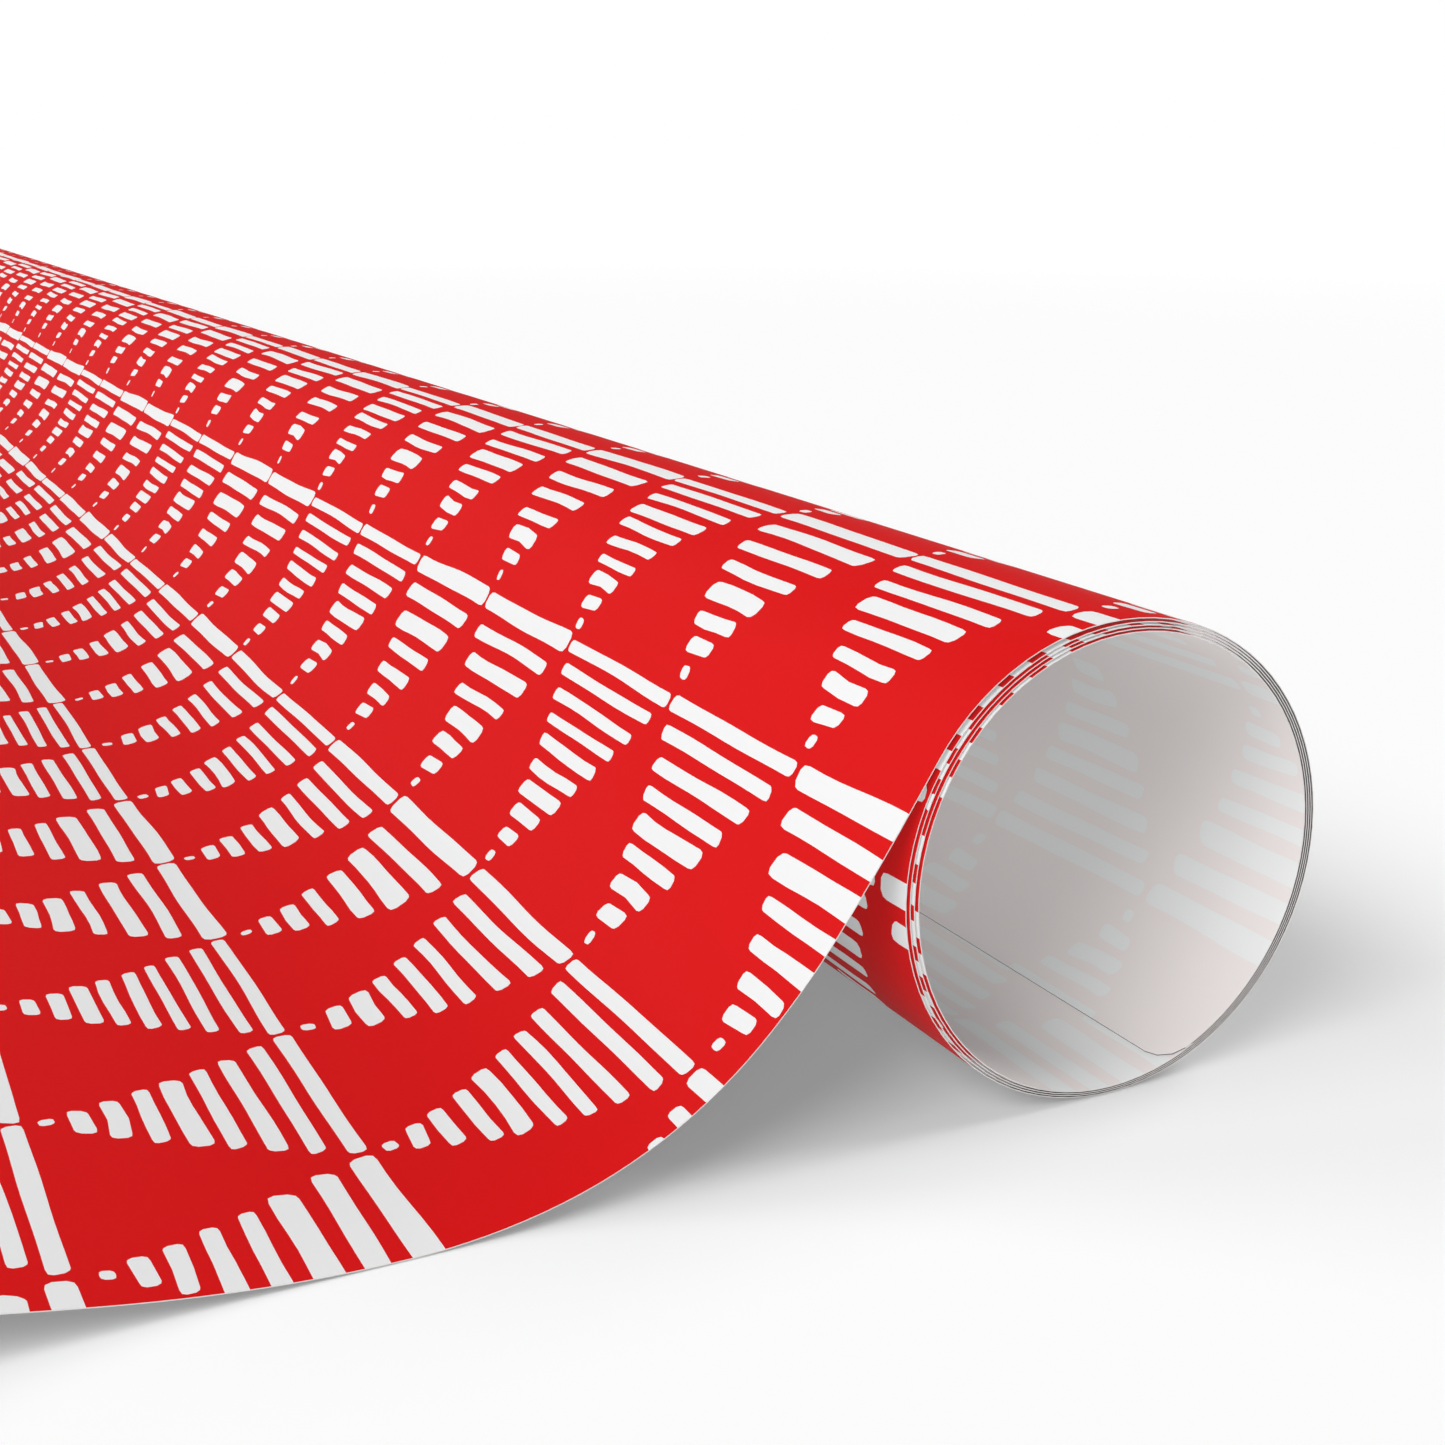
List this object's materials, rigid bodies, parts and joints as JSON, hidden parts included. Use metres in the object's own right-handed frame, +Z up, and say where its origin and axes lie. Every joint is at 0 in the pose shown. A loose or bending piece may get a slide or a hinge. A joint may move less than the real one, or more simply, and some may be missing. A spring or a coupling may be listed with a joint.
{
  "type": "wrapping paper roll",
  "caption": "Coreless roll of gift wrap whose free end runs off onto the table in an S-curve; the plies telescope and the free sheet curls back round the roll.",
  "frame": {"origin": "on the table under the roll's axis, halfway along the roll, in the middle of the flat it rests on", "axes": "+Y along the roll's axis, from the open near end to the far end; the free sheet runs towards -X; +Z up"},
  "size_m": [0.1284, 0.763, 0.0413],
  "materials": {
    "printed_paper": "satin print, red with off-white hand-cut bars",
    "paper_back": "matte, uncoated"
  },
  "bodies": {
    "roll": {"ply_1": "printed_paper"},
    "ply_2": {"ply_2": "printed_paper"},
    "ply_3": {"ply_3": "printed_paper"},
    "ply_4": {"ply_4": "printed_paper"},
    "ply_5": {"ply_5": "paper_back"},
    "inner_end": {"inner_end_flap": "paper_back"},
    "strip_01": {"sheet_strip_01": "printed_paper"},
    "strip_02": {"sheet_strip_02": "printed_paper"},
    "strip_03": {"sheet_strip_03": "printed_paper"},
    "strip_04": {"sheet_strip_04": "printed_paper"},
    "strip_05": {"sheet_strip_05": "printed_paper"},
    "strip_06": {"sheet_strip_06": "printed_paper"},
    "strip_07": {"sheet_strip_07": "printed_paper"},
    "strip_08": {"sheet_strip_08": "printed_paper"},
    "strip_09": {"sheet_strip_09": "printed_paper"},
    "strip_10": {"sheet_strip_10": "printed_paper"}
  },
  "joints": [
    {"name": "telescope_2", "type": "slide", "parent": "roll", "child": "ply_2", "axis": [0, 1, 0], "range_m": [-0.01, 0.01]},
    {"name": "telescope_3", "type": "slide", "parent": "ply_2", "child": "ply_3", "axis": [0, 1, 0], "range_m": [-0.0101, 0.0101]},
    {"name": "telescope_4", "type": "slide", "parent": "ply_3", "child": "ply_4", "axis": [0, 1, 0], "range_m": [-0.0101, 0.0101]},
    {"name": "telescope_5", "type": "slide", "parent": "ply_4", "child": "ply_5", "axis": [0, 1, 0], "range_m": [-0.0101, 0.0101]},
    {"name": "inner_end_lift", "type": "hinge", "parent": "ply_5", "child": "inner_end", "pos_m": [0.01308, 0, 0.00747], "axis": [0, 1, 0], "range_deg": [0, 40], "stiffness_Nm_per_rad": 0.03},
    {"name": "curl_01", "type": "hinge", "parent": "roll", "child": "strip_01", "pos_m": [-0.01746, 0, 0.03222], "axis": [0, -1, 0], "range_deg": [-6, 7.8], "stiffness_Nm_per_rad": 0.03},
    {"name": "curl_02", "type": "hinge", "parent": "strip_01", "child": "strip_02", "pos_m": [-0.02314, 0, 0.02339], "axis": [0, -1, 0], "range_deg": [-6, 35.9], "stiffness_Nm_per_rad": 0.03},
    {"name": "curl_03", "type": "hinge", "parent": "strip_02", "child": "strip_03", "pos_m": [-0.02924, 0, 0.01484], "axis": [0, -1, 0], "range_deg": [-6, 37.6], "stiffness_Nm_per_rad": 0.03},
    {"name": "curl_04", "type": "hinge", "parent": "strip_03", "child": "strip_04", "pos_m": [-0.03672, 0, 0.00747], "axis": [0, -1, 0], "range_deg": [-6, 43.6], "stiffness_Nm_per_rad": 0.03},
    {"name": "curl_05", "type": "hinge", "parent": "strip_04", "child": "strip_05", "pos_m": [-0.04594, 0, 0.00246], "axis": [0, -1, 0], "range_deg": [-6, 43.2], "stiffness_Nm_per_rad": 0.03},
    {"name": "curl_06", "type": "hinge", "parent": "strip_05", "child": "strip_06", "pos_m": [-0.05617, 0, 0.0001], "axis": [0, -1, 0], "range_deg": [-6, 40.6], "stiffness_Nm_per_rad": 0.03},
    {"name": "curl_07", "type": "hinge", "parent": "strip_06", "child": "strip_07", "pos_m": [-0.06667, 0, 0.0001], "axis": [0, -1, 0], "range_deg": [-6, 33], "stiffness_Nm_per_rad": 0.03},
    {"name": "curl_08", "type": "hinge", "parent": "strip_07", "child": "strip_08", "pos_m": [-0.07713, 0, 0.00108], "axis": [0, -1, 0], "range_deg": [-6, 32.2], "stiffness_Nm_per_rad": 0.03},
    {"name": "curl_09", "type": "hinge", "parent": "strip_08", "child": "strip_09", "pos_m": [-0.08747, 0, 0.0029], "axis": [0, -1, 0], "range_deg": [-6, 29.6], "stiffness_Nm_per_rad": 0.03},
    {"name": "curl_10", "type": "hinge", "parent": "strip_09", "child": "strip_10", "pos_m": [-0.09774, 0, 0.00507], "axis": [0, -1, 0], "range_deg": [-6, 29.3], "stiffness_Nm_per_rad": 0.03}
  ],
  "couplings": [
    {"joint": "telescope_3", "follows": "telescope_2", "ratio": 1},
    {"joint": "telescope_4", "follows": "telescope_2", "ratio": 1},
    {"joint": "telescope_5", "follows": "telescope_2", "ratio": 1}
  ]
}
